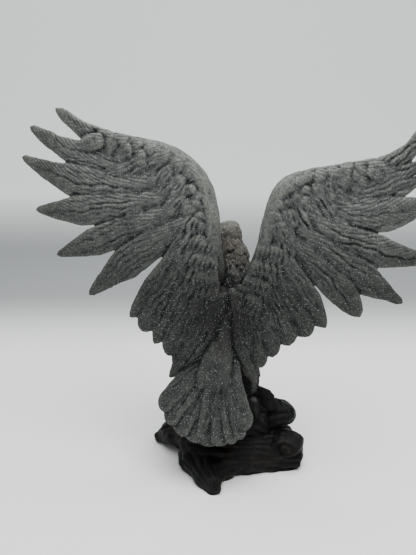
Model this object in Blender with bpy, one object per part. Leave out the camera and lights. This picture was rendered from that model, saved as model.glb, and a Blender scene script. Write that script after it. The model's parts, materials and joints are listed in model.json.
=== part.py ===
"""Eagle with raised wings on a driftwood rock: a cast figure in two pieces, the bird and the rock.

The frame is in metres, +Z up, with its origin on the rock's flat underside, below the bird's feet. The bird
faces +Y, and its right wing is on +X. The bird keeps its pose and carving as shares of its own wing span: its
tables are written in grades, and there are 254 grades to the span. The rock's tables are in shares of its width,
depth and height.
"""

import math

import bmesh
import bpy
from mathutils import Matrix, Vector

# Driving sizes
WING_SPAN = 0.254
ROCK_WIDTH = 0.105
ROCK_DEPTH = 0.084
PERCH_HEIGHT = 0.038
SEAT_GAP = 0.0003

# Cast thicknesses and the size of the facets
FEATHER_THICKNESS = 0.0034
TAIL_THICKNESS = 0.0040
FUSE_GRAIN = 0.0012
PLUG_RADIUS = 0.0019
PLUG_ROUNDS = 6
EAGLE_FACETS = 7400
ROCK_FACETS = 1900

GRADES_TO_SPAN = 254
GRADE = WING_SPAN / GRADES_TO_SPAN

# The wings are cupped like hands: their backs bulge to the rear and their rims curve forward.
WING_BULGE_Y = -22
WING_CUP = 24
CUP_CENTRE = (45, 107)
CUP_REACH = (85, 110)

# Flight feathers, from the foremost one down to the body: root x and z, the middle of the blade x and z, tip
# x and z, width at the middle, root width as a share of it, and how round the tip is. Heights are above the perch.
LEFT_WING = [
    (-48, 169, -82, 178, -108, 195, 13.5, 0.9, 0.30),
    (-40, 162, -92, 167, -126.5, 183.5, 18, 0.7, 0.25),
    (-35, 154, -98, 152, -133.5, 165, 21, 0.6, 0.20),
    (-31, 146, -94, 133.5, -125.5, 132, 19, 0.6, 0.35),
    (-27, 138, -84, 114.5, -111.5, 103.5, 18, 0.65, 0.30),
    (-23, 130, -64, 101.5, -89.5, 79, 20, 0.7, 0.15),
    (-18, 124, -43, 87, -62, 67, 20, 0.8, 0.55),
    (-15, 118, -41, 78, -55, 57.5, 22, 0.6, 0.85),
    (-13, 110, -36, 68, -47, 49, 19, 0.6, 0.50),
    (-11, 102, -29, 60, -38.5, 40.5, 20, 0.6, 0.90),
    (-9, 94, -25, 54, -35, 32.5, 17, 0.6, 0.60),
    (-7, 86, -20, 46, -39, 23.5, 24, 0.7, 0.40),
]
RIGHT_WING = [
    (56, 158, 88, 163, 113, 195, 15, 0.6, 0.15),
    (48, 153, 92, 154, 121, 175, 20, 0.6, 0.25),
    (42, 147, 92, 138, 120, 147, 21, 0.7, 0.25),
    (38, 140, 87, 116, 121, 111, 20, 0.6, 0.25),
    (34, 133, 80, 100, 104, 84.5, 20, 0.6, 0.20),
    (30, 127, 66, 94, 80, 76, 18, 0.7, 0.80),
    (26, 120, 48, 84, 60.5, 68.5, 20, 0.8, 0.50),
    (23, 113, 42, 74, 51, 62, 22, 0.6, 0.80),
    (20, 106, 34, 66, 39.5, 54.5, 20, 0.6, 0.80),
    (16, 98, 25, 58, 29.5, 45, 18, 0.6, 0.80),
    (12, 92, 18, 52, 22, 36, 16, 0.7, 0.80),
    (7, 88, 9, 48, 19.5, 21, 15, 0.8, 0.30),
]

# Rows of short feathers over the flight feathers: how many in each row, their reach as a share of the flight
# feathers, their width in grades, and how far each row stands off the wing's middle surface.
COVERT_COUNTS = (12, 12, 11)
COVERT_ROWS = [(0.62, 17, 0.9), (0.42, 17, 2.0), (0.24, 17, 2.8)]

# The arm along each wing's front edge: x, y and height of the middle, then the half-thicknesses across and through.
LEFT_ARM = [
    (-8, 6, 74, 9, 10),
    (-12, 0, 84, 9, 9),
    (-11, -9, 100, 8, 8),
    (-11, -14, 118, 6.5, 7),
    (-12, -15, 136, 6, 6.5),
    (-18, -14, 154, 6, 6),
    (-34, -14, 167, 6, 5.5),
    (-56, -13, 174, 4.5, 4),
    (-78, -11, 178, 3.5, 3),
]
RIGHT_ARM = [
    (9, 6, 72, 9, 10),
    (14, 0, 82, 9, 9),
    (19, -9, 98, 7.5, 8),
    (24, -16, 116, 6.5, 7),
    (27.5, -17, 134, 6.5, 6.5),
    (33, -16.5, 149, 6.5, 6),
    (44, -16, 156, 5.5, 5.5),
    (60, -15, 160, 4.5, 4),
    (80, -13, 165, 3.5, 3),
]

# Tail feathers: tip x and height of each, from left to right. All spring from the rump.
TAIL_ROOT = (-4, 40)
TAIL_TIPS = [(-42, 8), (-36, 2), (-28, -2.5), (-18.5, -5.5), (-9, -7), (0.5, -6.5), (9, -4), (16, 0), (21, 6)]
TAIL_ROOT_SPREAD = 12
TAIL_SWEEP = (0.66, 0.36)
TAIL_FEATHER_WIDTH = 14
TAIL_ROOT_Y = -13
TAIL_REAR_SLOPE = 0.62
TAIL_CROWN = 0.005

# Trunk, neck and head: x, y and height of each ring, then the half-widths across and through.
TRUNK = [
    (-4, -14, 32, 8, 5),
    (-3, -7, 37, 14, 10),
    (-2, 2, 46, 18, 15),
    (-1, 6, 60, 20, 18),
    (0, 7, 76, 20, 17),
    (0, 7, 88, 16, 14),
    (0, 8, 97, 11, 11.5),
    (-1, 9, 104, 10, 10.5),
    (-3, 11, 111, 8, 10),
    (-4, 13, 117, 8, 10.5),
    (-4.5, 14, 121.5, 6.5, 8.5),
    (-5, 14, 124, 3, 4),
]
BEAK = [(-6, 20, 116, 5.5, 5.5), (-9, 27, 116.5, 4.2, 4.6), (-11.5, 33, 115, 2.8, 3.4), (-13, 36, 110.5, 1.2, 1.4)]
LEFT_BROW = [(-11, 14, 119, 2, 2), (-13, 21, 120.5, 2.6, 2), (-13.5, 26, 118.5, 1.4, 1.2)]
RIGHT_BROW = [(1, 14, 119, 2, 2), (-1.5, 22, 120.5, 2.6, 2), (-4, 27, 118.5, 1.4, 1.2)]

# Legs, toes and claws, for the right side; the left side mirrors them.
THIGH = [(9, 4, 46, 9, 11), (11.5, 4, 32, 7.4, 9), (13.5, 2, 20, 5.6, 6.5), (14.5, 1, 12, 4.2, 4.6)]
SHANK = [(15, 1, 14, 3.6, 3.8), (15, 2, 8, 3.4, 3.6), (15, 3, 3.6, 4.2, 4.2)]
ANKLE = (15, 3)
TOE_HEADINGS = (110, 70, 28, -62)
TOE_REACH = 14.5
TOE_THICKNESS = 3.2
CLAW_REACH = 5
SEAT_RADIUS = 20

# Rock: each lump is a bent log of rings, as shares of the rock's width, depth and perch height.
ROCK_LOGS = [
    # crown below the feet
    [(-0.305, 0.048, 0.579, 0.19, 0.395), (-0.114, 0.071, 0.658, 0.226, 0.382),
     (0.095, 0.071, 0.658, 0.238, 0.382), (0.267, 0.071, 0.684, 0.19, 0.355)],
    # broad foot of the stump
    [(-0.343, 0.048, 0.132, 0.167, 0.316), (-0.095, 0.095, 0.158, 0.31, 0.474),
     (0.19, 0.119, 0.158, 0.298, 0.447), (0.4, 0.095, 0.158, 0.179, 0.316)],
    # shoulder to the right of the tail, that overhangs the log below it
    [(0.21, 0.095, 0.763, 0.143, 0.316), (0.324, 0.095, 0.816, 0.143, 0.237),
     (0.39, 0.095, 0.829, 0.095, 0.171), (0.424, 0.095, 0.855, 0.036, 0.079)],
    # shoulder to the left of the tail
    [(-0.229, 0.095, 0.658, 0.167, 0.342), (-0.362, 0.131, 0.763, 0.143, 0.316),
     (-0.438, 0.155, 0.868, 0.083, 0.224), (-0.471, 0.167, 0.895, 0.036, 0.105)],
    # log that runs along the rear to its rounded end on the right
    [(-0.286, -0.143, 0.105, 0.107, 0.421), (-0.076, -0.179, 0.184, 0.167, 0.474),
     (0.133, -0.143, 0.197, 0.149, 0.421), (0.324, -0.024, 0.197, 0.167, 0.382),
     (0.419, 0.036, 0.184, 0.155, 0.342), (0.467, 0.054, 0.171, 0.107, 0.237)],
    # root that comes out to the rear
    [(-0.133, -0.095, 0.211, 0.238, 0.368), (-0.086, -0.262, 0.132, 0.232, 0.342),
     (-0.071, -0.405, 0.105, 0.143, 0.237), (-0.033, -0.506, 0.053, 0.071, 0.158),
     (-0.017, -0.548, 0.026, 0.03, 0.079)],
    # broken spur on the left
    [(-0.267, 0.024, 0.316, 0.167, 0.368), (-0.381, 0.048, 0.263, 0.107, 0.263),
     (-0.443, 0.06, 0.184, 0.065, 0.158), (-0.519, 0.071, 0.079, 0.012, 0.037)],
    # roots under the front
    [(-0.057, 0.214, 0.211, 0.238, 0.316), (0.029, 0.345, 0.132, 0.179, 0.211),
     (0.048, 0.429, 0.053, 0.071, 0.105), (0.052, 0.452, 0.026, 0.024, 0.053)],
]
STRAND = 11


def along(points, share):
    """The point at that share of a list of points, straight from each one to the next."""
    place = min(max(share, 0), 1) * (len(points) - 1)
    step = min(int(place), len(points) - 2)
    return [a + (b - a) * (place - step) for a, b in zip(points[step], points[step + 1])]


def smooth_through(rings, count):
    """The rings spaced out to that many, on a curve that goes through each one given."""
    made = []
    for i in range(count):
        place = i / (count - 1) * (len(rings) - 1)
        k = min(int(place), len(rings) - 2)
        t = place - k
        before, a, b, after = (rings[min(max(k + n, 0), len(rings) - 1)] for n in (-1, 0, 1, 2))
        made.append([
            q + 0.5 * t * (r - p + t * (2 * p - 5 * q + 4 * r - s + t * (3 * (q - r) + s - p)))
            for p, q, r, s in zip(before, a, b, after)
        ])
    return made


def loft(bm, rings, facing, sides):
    """Adds a closed shell through rings of (middle, half-size across, half-size through).

    facing gives the direction through the shell at a ring's middle, such as a feather's upper side."""
    loops = []
    for i, (middle, across, through) in enumerate(rings):
        ahead = rings[min(i + 1, len(rings) - 1)][0] - rings[max(i - 1, 0)][0]
        ahead.normalize()
        side = facing(middle).cross(ahead).normalized()
        up = ahead.cross(side)
        turn = Matrix((side * across, up * through, ahead)).transposed().to_4x4()
        half = math.pi / sides
        flat_sided = Matrix.Rotation(half, 4, "Z") @ Matrix.Scale(1 / math.cos(half), 4)
        made = bmesh.ops.create_circle(
            bm, segments=sides, radius=1, matrix=Matrix.Translation(middle) @ turn @ flat_sided
        )["verts"]
        loops.append(made)
    for near, far in zip(loops, loops[1:]):
        for k in range(sides):
            n = (k + 1) % sides
            bm.faces.new((near[k], near[n], far[n], far[k]))
    bm.faces.new(loops[0][::-1])
    bm.faces.new(loops[-1])


def to_rear(_):
    return Vector((0, -1, 0))


def to_top(_):
    return Vector((0, 0, 1))


def wing_y(x, height):
    """How far behind the feet the wing's middle surface lies, in grades."""
    far = ((abs(x) - CUP_CENTRE[0]) / CUP_REACH[0]) ** 2 + ((height - CUP_CENTRE[1]) / CUP_REACH[1]) ** 2
    return WING_BULGE_Y + WING_CUP * (1 - math.exp(-far))


def tail_y(x, height):
    below = TAIL_ROOT[1] - height
    return TAIL_ROOT_Y - below * TAIL_REAR_SLOPE + TAIL_CROWN * (x - TAIL_ROOT[0] - below * -0.15) ** 2


def vane_point(feather, share):
    """A point of a flight feather's middle line: the curve through its root, middle and tip."""
    root_x, root_z, mid_x, mid_z, tip_x, tip_z = feather[:6]
    inner = math.hypot(mid_x - root_x, mid_z - root_z)
    bend = inner / (inner + math.hypot(tip_x - mid_x, tip_z - mid_z))
    from_root = (share - bend) * (share - 1) / bend
    from_mid = share * (share - 1) / (bend * (bend - 1))
    from_tip = share * (share - bend) / (1 - bend)
    return (
        from_root * root_x + from_mid * mid_x + from_tip * tip_x,
        from_root * root_z + from_mid * mid_z + from_tip * tip_z,
    ), bend


def half_width(feather, share, bend):
    width, root_share, roundness = feather[6:]
    if share < bend:
        return width / 2 * (root_share + (1 - root_share) * math.sin(math.pi / 2 * share / bend))
    left = (share - bend) / (1 - bend)
    return width / 2 * ((1 - roundness) * (1 - left) + roundness * math.sqrt(max(0, 1 - left * left)))


def feather_shell(bm, feather, reach, lift, thickness, surface, width=None):
    """One feather from its root to that share of its length, lying on a curved surface."""
    rings = []
    for i in range(STRAND):
        part = 1 - (1 - i / (STRAND - 1)) ** 1.7
        share = reach * (0.995 * part)
        (x, height), bend = vane_point(feather, share)
        if width is None:
            across = half_width(feather, share, bend)
        else:
            across = width / 2 * (0.55 + 0.45 * math.sin(math.pi / 2 * min(1, part * 2)))
            across *= math.sqrt(max(0, 1 - max(0, (part - 0.55) / 0.45) ** 2))
        through = thickness / GRADE / 2 * (1.15 - 0.45 * part)
        rise = lift * min(1, 3 * part) * (1 - 0.5 * part)
        middle = Vector((x, surface(x, height) - rise, height)) * GRADE
        rings.append((middle, max(across, 0.9) * GRADE, through * GRADE))

    def facing(point):
        x, height = point.x / GRADE, point.z / GRADE
        step = 1.0
        slope_x = (surface(x + step, height) - surface(x - step, height)) / (2 * step)
        slope_z = (surface(x, height + step) - surface(x, height - step)) / (2 * step)
        return Vector((slope_x, -1, slope_z)).normalized()

    loft(bm, rings, facing, 8)


def wing(bm, feathers, arm):
    for feather in feathers:
        feather_shell(bm, feather, 1, 0, FEATHER_THICKNESS, wing_y)
    for count, (reach, width, lift) in zip(COVERT_COUNTS, COVERT_ROWS):
        for i in range(count):
            share = (i + 0.5) / count
            root = along(arm, 0.98 - 0.83 * share)
            covert = (root[0], root[2], *along(feathers, share)[2:])
            for side, depth in ((1, FEATHER_THICKNESS), (-0.7, 1.3 * FEATHER_THICKNESS)):
                feather_shell(bm, covert, reach * (0.72 + 0.38 * share), side * lift, depth, wing_y, width)
    tube(bm, arm, 14, 10, to_rear)


def tube(bm, rings, count, sides, facing, mirror=1):
    """A round shell through rings given in grades: x, y, height, half-size across and half-size through."""
    loft(
        bm,
        [
            (Vector((x * mirror, y, z)) * GRADE, across * GRADE, through * GRADE)
            for x, y, z, across, through in smooth_through(rings, count)
        ],
        facing,
        sides,
    )


def tail(bm):
    for i, (tip_x, tip_z) in enumerate(TAIL_TIPS):
        share = i / (len(TAIL_TIPS) - 1)
        root_x = TAIL_ROOT[0] + (share - 0.5) * TAIL_ROOT_SPREAD
        mid_x = root_x + (tip_x - root_x) * along([TAIL_SWEEP[:1], TAIL_SWEEP[1:]], share)[0]
        mid_z = TAIL_ROOT[1] + (tip_z - TAIL_ROOT[1]) * 0.60
        feather = (root_x, TAIL_ROOT[1], mid_x, mid_z, tip_x, tip_z, TAIL_FEATHER_WIDTH, 0.6, 1)
        feather_shell(bm, feather, 1, 0, TAIL_THICKNESS, tail_y)


def leg(bm, mirror):
    tube(bm, THIGH, 7, 10, to_rear, mirror)
    tube(bm, SHANK, 5, 8, to_rear, mirror)
    for heading in TOE_HEADINGS:
        turn = math.radians(heading)
        out = Vector((math.cos(turn) * mirror, math.sin(turn), 0))
        start = Vector((ANKLE[0] * mirror, ANKLE[1], 0))
        toe = [
            (start + out * reach + Vector((0, 0, height)), thick)
            for reach, height, thick in (
                (0, 4.0, TOE_THICKNESS * 1.2),
                (TOE_REACH * 0.6, 6.4, TOE_THICKNESS * 1.15),
                (TOE_REACH, 3.4, TOE_THICKNESS),
                (TOE_REACH + CLAW_REACH * 0.6, 2.6, TOE_THICKNESS * 0.7),
                (TOE_REACH + CLAW_REACH, 0.6, TOE_THICKNESS * 0.4),
            )
        ]
        loft(bm, [(middle * GRADE, thick * GRADE, thick * GRADE) for middle, thick in toe], to_top, 8)


def fused(bm, name, facets):
    """Melts the overlapping shells of a piece into one casting and brings it down to that many facets."""
    bmesh.ops.recalc_face_normals(bm, faces=bm.faces)
    mesh = bpy.data.meshes.new(name)
    bm.to_mesh(mesh)
    obj = bpy.data.objects.new(name, mesh)
    bpy.context.scene.collection.objects.link(obj)
    for _ in range(PLUG_ROUNDS):
        melt = obj.modifiers.new("melt", "REMESH")
        melt.mode = "VOXEL"
        melt.voxel_size = FUSE_GRAIN
        apply_modifiers(obj)
        spots = pinched(obj.data)
        if not spots:
            break
        for spot in spots:
            bmesh.ops.create_icosphere(
                bm, subdivisions=1, radius=PLUG_RADIUS, matrix=Matrix.Translation(spot)
            )
        bm.to_mesh(obj.data)
    bm.free()
    thin = obj.modifiers.new("facets", "DECIMATE")
    thin.ratio = min(1, facets / (2 * len(obj.data.polygons)))
    apply_modifiers(obj)
    return obj


def pinched(mesh):
    """The places where the surface touches itself at an edge or at a point."""
    bm = bmesh.new()
    bm.from_mesh(mesh)
    spots = [v.co.copy() for v in bm.verts if not v.is_manifold]
    bm.free()
    return spots


def apply_modifiers(obj):
    graph = bpy.context.evaluated_depsgraph_get()
    made = bpy.data.meshes.new_from_object(obj.evaluated_get(graph))
    obj.modifiers.clear()
    obj.data = made


def cut_flat(obj):
    """Cuts the piece off flat at the ground, and closes the cut."""
    bm = bmesh.new()
    bm.from_mesh(obj.data)
    cut = bmesh.ops.bisect_plane(
        bm,
        geom=bm.verts[:] + bm.edges[:] + bm.faces[:],
        plane_co=(0, 0, 0),
        plane_no=(0, 0, 1),
        clear_inner=True,
    )
    rim = [e for e in cut["geom_cut"] if isinstance(e, bmesh.types.BMEdge)]
    bmesh.ops.holes_fill(bm, edges=rim)
    bmesh.ops.triangulate(bm, faces=bm.faces)
    bm.to_mesh(obj.data)
    bm.free()


def press_seats(obj, height, push_up):
    """Presses the piece flat at a height, in the two round places where the feet stand."""
    for vertex in obj.data.vertices:
        point = vertex.co
        from_ankle = math.hypot(abs(point.x) - ANKLE[0] * GRADE, point.y - ANKLE[1] * GRADE)
        if from_ankle < SEAT_RADIUS * GRADE:
            point.z = max(point.z, height) if push_up else min(point.z, height)


def resin(name, colour, roughness):
    """Cast resin with a matt coat."""
    material = bpy.data.materials.new(name)
    material.use_nodes = True
    shader = material.node_tree.nodes["Principled BSDF"]
    shader.inputs["Base Color"].default_value = (*colour, 1)
    shader.inputs["Roughness"].default_value = roughness
    shader.inputs["Metallic"].default_value = 0
    return material


def eagle():
    bm = bmesh.new()
    tube(bm, TRUNK, 24, 16, to_rear)
    tube(bm, BEAK, 8, 8, to_top)
    for brow in (LEFT_BROW, RIGHT_BROW):
        tube(bm, brow, 5, 8, to_top)
    for mirror in (-1, 1):
        leg(bm, mirror)
    wing(bm, LEFT_WING, LEFT_ARM)
    wing(bm, RIGHT_WING, RIGHT_ARM)
    tail(bm)
    obj = fused(bm, "eagle", EAGLE_FACETS)
    press_seats(obj, 0, push_up=True)
    obj.location.z = PERCH_HEIGHT + SEAT_GAP
    obj.data.materials.append(resin("glitter_coated_resin", (0.075, 0.078, 0.078), 0.7))
    return obj


def rock():
    bm = bmesh.new()
    for log in ROCK_LOGS:
        rings = [
            (
                Vector((x * ROCK_WIDTH, y * ROCK_DEPTH, z * PERCH_HEIGHT)),
                across * ROCK_DEPTH,
                through * PERCH_HEIGHT,
            )
            for x, y, z, across, through in smooth_through(log, 8)
        ]
        loft(bm, rings, to_top, 12)
    obj = fused(bm, "rock_base", ROCK_FACETS)
    cut_flat(obj)
    press_seats(obj, PERCH_HEIGHT, push_up=False)
    obj.data.materials.append(resin("black_painted_resin", (0.012, 0.011, 0.010), 0.55))
    return obj


def clear_scene():
    for obj in list(bpy.data.objects):
        bpy.data.objects.remove(obj)


clear_scene()
rock()
eagle()
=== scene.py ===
"""Eagle with raised wings on a driftwood rock, dressed for its portrait.

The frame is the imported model's: metres, +Z up, the bird faces +Y and stands above the origin. The carving below is
laid out in millimetres and brought to metres as each mesh is made.
"""

import json
import math

import bpy
import numpy as np
from mathutils.bvhtree import BVHTree
from mathutils.interpolate import poly_3d_calc
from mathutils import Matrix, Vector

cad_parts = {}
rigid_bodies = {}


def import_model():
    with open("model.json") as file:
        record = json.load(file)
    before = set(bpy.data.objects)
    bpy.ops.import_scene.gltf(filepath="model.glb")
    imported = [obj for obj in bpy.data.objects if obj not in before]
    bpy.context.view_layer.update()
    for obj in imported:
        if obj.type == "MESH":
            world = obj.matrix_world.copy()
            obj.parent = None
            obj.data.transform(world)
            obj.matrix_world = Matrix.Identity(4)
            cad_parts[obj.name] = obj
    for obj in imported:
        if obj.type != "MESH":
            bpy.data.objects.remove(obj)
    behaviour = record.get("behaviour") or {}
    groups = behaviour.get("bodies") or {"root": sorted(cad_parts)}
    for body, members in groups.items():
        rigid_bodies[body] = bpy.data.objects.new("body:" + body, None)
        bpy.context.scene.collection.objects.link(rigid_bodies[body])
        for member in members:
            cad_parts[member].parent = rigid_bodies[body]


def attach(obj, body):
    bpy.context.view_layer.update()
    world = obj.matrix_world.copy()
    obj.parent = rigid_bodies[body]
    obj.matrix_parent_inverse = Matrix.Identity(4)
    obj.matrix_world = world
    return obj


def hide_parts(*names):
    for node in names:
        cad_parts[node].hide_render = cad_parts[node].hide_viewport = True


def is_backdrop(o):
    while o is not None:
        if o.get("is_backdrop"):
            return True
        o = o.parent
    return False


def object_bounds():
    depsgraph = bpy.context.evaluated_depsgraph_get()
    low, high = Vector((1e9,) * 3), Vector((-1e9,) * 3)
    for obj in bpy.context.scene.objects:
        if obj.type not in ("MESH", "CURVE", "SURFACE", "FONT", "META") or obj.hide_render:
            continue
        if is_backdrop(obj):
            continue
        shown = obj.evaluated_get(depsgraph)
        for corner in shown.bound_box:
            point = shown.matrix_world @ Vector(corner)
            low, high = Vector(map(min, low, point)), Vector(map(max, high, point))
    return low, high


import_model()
for leftover in ("Cube", "Light", "Camera"):
    if leftover in bpy.data.objects:
        bpy.data.objects.remove(bpy.data.objects[leftover])
cad_low, cad_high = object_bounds()
bpy.ops.object.select_all(action="DESELECT")

# Driftwood rock. The real one is a solid resin casting of a weathered stump with its roots, painted matt black
# and then dry-brushed with brown. Each root and log is drawn out from a ball, grooved along its grain, and all
# are melted into one casting that is sawn off flat below.
MM = 0.001
ROCK_WIDTH, ROCK_DEPTH, PERCH = 105.0, 84.0, 38.0
ROCK_GRAIN = 0.62
ROCK_TRIANGLES = 150000
ROCK_LUMPS = [(11.0, 2.6, None), (3.0, 0.6, None)]
GROOVE_PITCH, GROOVE_DEPTH = 5.0, 2.2
SAWN_FLAT = 0.25
ANKLE = (15.0, 3.0)
SEAT_RADIUS = 20.0
KNOT_RING_PITCH, KNOT_RING_HEIGHT = 4.6, 0.8
KNOT = [(39, -1, 17, 12, 8), (39, -6, 17, 12, 8), (39.5, -10, 17, 11, 7), (40, -13, 17, 8.5, 5.2),
        (40, -14.5, 17, 4, 3)]
# Each ring of a log: x, y, height, half-size across and half-size through, as shares of the rock's own sizes.
ROCK_LOGS = {
    "crown": [(-0.305, 0.048, 0.579, 0.19, 0.395), (-0.114, 0.071, 0.658, 0.226, 0.382),
              (0.095, 0.071, 0.658, 0.238, 0.382), (0.267, 0.071, 0.684, 0.19, 0.355)],
    "broad_foot": [(-0.343, 0.048, 0.132, 0.167, 0.316), (-0.095, 0.095, 0.158, 0.31, 0.474),
                   (0.19, 0.119, 0.158, 0.298, 0.447), (0.4, 0.095, 0.158, 0.179, 0.316)],
    "right_shoulder": [(0.21, 0.095, 0.763, 0.143, 0.316), (0.324, 0.095, 0.816, 0.143, 0.237),
                       (0.39, 0.095, 0.829, 0.095, 0.171), (0.424, 0.095, 0.855, 0.036, 0.079)],
    "left_shoulder": [(-0.229, 0.095, 0.658, 0.167, 0.342), (-0.362, 0.131, 0.763, 0.143, 0.316),
                      (-0.438, 0.155, 0.868, 0.083, 0.224), (-0.471, 0.167, 0.895, 0.036, 0.105)],
    "rear_log": [(-0.286, -0.143, 0.105, 0.107, 0.421), (-0.076, -0.179, 0.184, 0.167, 0.474),
                 (0.133, -0.143, 0.197, 0.149, 0.421), (0.324, -0.024, 0.197, 0.167, 0.382),
                 (0.419, 0.036, 0.184, 0.155, 0.342), (0.467, 0.054, 0.171, 0.107, 0.237)],
    "rear_root": [(-0.133, -0.095, 0.211, 0.238, 0.368), (-0.086, -0.262, 0.132, 0.232, 0.342),
                  (-0.071, -0.405, 0.105, 0.143, 0.237), (-0.033, -0.506, 0.053, 0.071, 0.158),
                  (-0.017, -0.548, 0.026, 0.03, 0.079)],
    "left_spur": [(-0.267, 0.024, 0.316, 0.167, 0.368), (-0.381, 0.048, 0.263, 0.107, 0.263),
                  (-0.443, 0.06, 0.184, 0.065, 0.158), (-0.519, 0.071, 0.079, 0.012, 0.037)],
    "front_roots": [(-0.057, 0.214, 0.211, 0.238, 0.316), (0.029, 0.345, 0.132, 0.179, 0.211),
                    (0.048, 0.429, 0.053, 0.071, 0.105), (0.052, 0.452, 0.026, 0.024, 0.053)],
}


def curve(rows, share):
    """The smooth curve through the rows of a table, at an array of shares from 0 to 1 of it."""
    rows = np.asarray(rows, float)
    place = np.clip(share, 0, 1) * (len(rows) - 1)
    k = np.minimum(place.astype(int), len(rows) - 2)
    t = (place - k)[:, None]
    p, q, r = rows[np.maximum(k - 1, 0)], rows[k], rows[k + 1]
    s = rows[np.minimum(k + 2, len(rows) - 1)]
    return q + 0.5 * t * (r - p + t * (2 * p - 5 * q + 4 * r - s + t * (3 * (q - r) + s - p)))


def unit(vectors):
    return vectors / np.maximum(np.linalg.norm(vectors, axis=-1, keepdims=True), 1e-9)


def tube(rings, facing):
    """The round surface through rings of x, y, height, half-size across and half-size through.

    It takes shares along the tube and angles round it, and gives points and the way out at each."""

    def surface(share, angle):
        ring = curve(rings, share)
        ahead = unit((curve(rings, share + 0.01) - curve(rings, share - 0.01))[:, :3])
        side = unit(np.cross(np.broadcast_to(facing, ahead.shape), ahead))
        rise = np.cross(ahead, side)
        out = side * (ring[:, 3] * np.cos(angle))[:, None] + rise * (ring[:, 4] * np.sin(angle))[:, None]
        return ring[:, :3] + out, out

    return surface


def points_of(obj):
    """A mesh's points, in its own units."""
    flat = np.empty(len(obj.data.vertices) * 3, np.float32)
    obj.data.vertices.foreach_get("co", flat)
    return flat.reshape(-1, 3).astype(float)


def put(obj, points):
    """Places a mesh's points, given in millimetres."""
    obj.data.vertices.foreach_set("co", (points * MM).astype(np.float32).ravel())
    obj.data.update()


def strand_map(obj, along, across):
    """Stores in "strand" how far along and across its strand each point lies, in millimetres."""
    layer = obj.data.attributes.new("strand", "FLOAT_VECTOR", "POINT")
    places = np.stack([along, across, np.zeros(len(along))], 1)
    layer.data.foreach_set("vector", places.astype(np.float32).ravel())


NO_STRAND = -60.0
TO_REAR = (0, -1, 0)
TO_TOP = (0, 0, 1)


def drawn_out(name, surface, segments, rings, relief=None, span=None):
    """A ball drawn out along a tube's spine.

    relief gives how far each point stands proud, and span is the length and girth of its strands, all in
    millimetres. A form without strands is marked with NO_STRAND."""
    bpy.ops.mesh.primitive_uv_sphere_add(segments=segments, ring_count=rings, radius=1)
    obj = bpy.context.object
    obj.name = name
    ball = points_of(obj)
    share = (1 - ball[:, 2]) / 2
    angle = np.arctan2(ball[:, 1], ball[:, 0])
    rim = np.minimum(1, np.hypot(ball[:, 0], ball[:, 1]) / 0.55)
    full = np.sqrt(1 - (1 - rim) ** 2)[:, None]
    points, out = surface(share, angle)
    proud = 0 if relief is None else relief(share, angle)[:, None] * unit(out)
    put(obj, points - out * (1 - full) + proud * full)
    length, girth = span or (0, 0)
    along = share * length if span else np.full(len(share), NO_STRAND)
    strand_map(obj, along, angle * girth)
    obj.select_set(False)
    return obj


def grain_of(length, girth, seed):
    """Weathered grain: wandering grooves along a log, as millimetres of height."""
    luck = np.random.default_rng(seed).uniform(0, 2 * math.pi, 8)

    def relief(share, angle):
        wander = 0.9 * np.sin(share * length / 13 + luck[0] + np.sin(angle + luck[1]))
        wander += 0.25 * np.sin(share * length / 5.5 + luck[2] + 2 * angle)
        count = max(3, round(girth * 2 * math.pi / GROOVE_PITCH))
        strand = np.abs(np.sin(0.5 * (angle * count + 2 * math.pi * wander)))
        deep = 0.55 + 0.45 * np.sin(3 * angle + share * 5 + luck[3])
        swell = 1.2 * np.sin(share * length / 9 + luck[4] + 1.5 * np.sin(2 * angle + luck[5]))
        return GROOVE_DEPTH * deep * (np.sqrt(strand) - 0.8) + swell

    return relief


def melted(parts, name, grain, lumps):
    """Joins overlapping shells and melts them into one casting. It returns the casting and its pattern.

    Each of the lumps has a size and a height in millimetres, and a weight by place or None for everywhere."""
    bpy.ops.object.select_all(action="DESELECT")
    for part in parts:
        part.select_set(True)
    bpy.context.view_layer.objects.active = parts[0]
    bpy.ops.object.join()
    pattern = bpy.context.object
    casting = pattern.copy()
    casting.data = pattern.data.copy()
    casting.name = name
    bpy.context.scene.collection.objects.link(casting)
    pattern.select_set(False)
    casting.select_set(True)
    bpy.context.view_layer.objects.active = casting
    melt = casting.modifiers.new("melt", "REMESH")
    melt.mode = "VOXEL"
    melt.voxel_size = grain * MM
    bpy.ops.object.modifier_apply(modifier=melt.name)
    for size, height, where in lumps:
        cloud = bpy.data.textures.new("lumps", "CLOUDS")
        cloud.noise_scale = size * MM
        cloud.noise_depth = 1
        rough = casting.modifiers.new("rough", "DISPLACE")
        rough.texture = cloud
        rough.texture_coords = "LOCAL"
        rough.strength = height * MM
        rough.mid_level = 0.5
        if where:
            patch = casting.vertex_groups.new(name="patch")
            for index, weight in enumerate(where(points_of(casting) / MM)):
                if weight > 0.01:
                    patch.add([index], weight, "REPLACE")
            rough.vertex_group = patch.name
        bpy.ops.object.modifier_apply(modifier=rough.name)
    return casting, pattern


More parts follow.
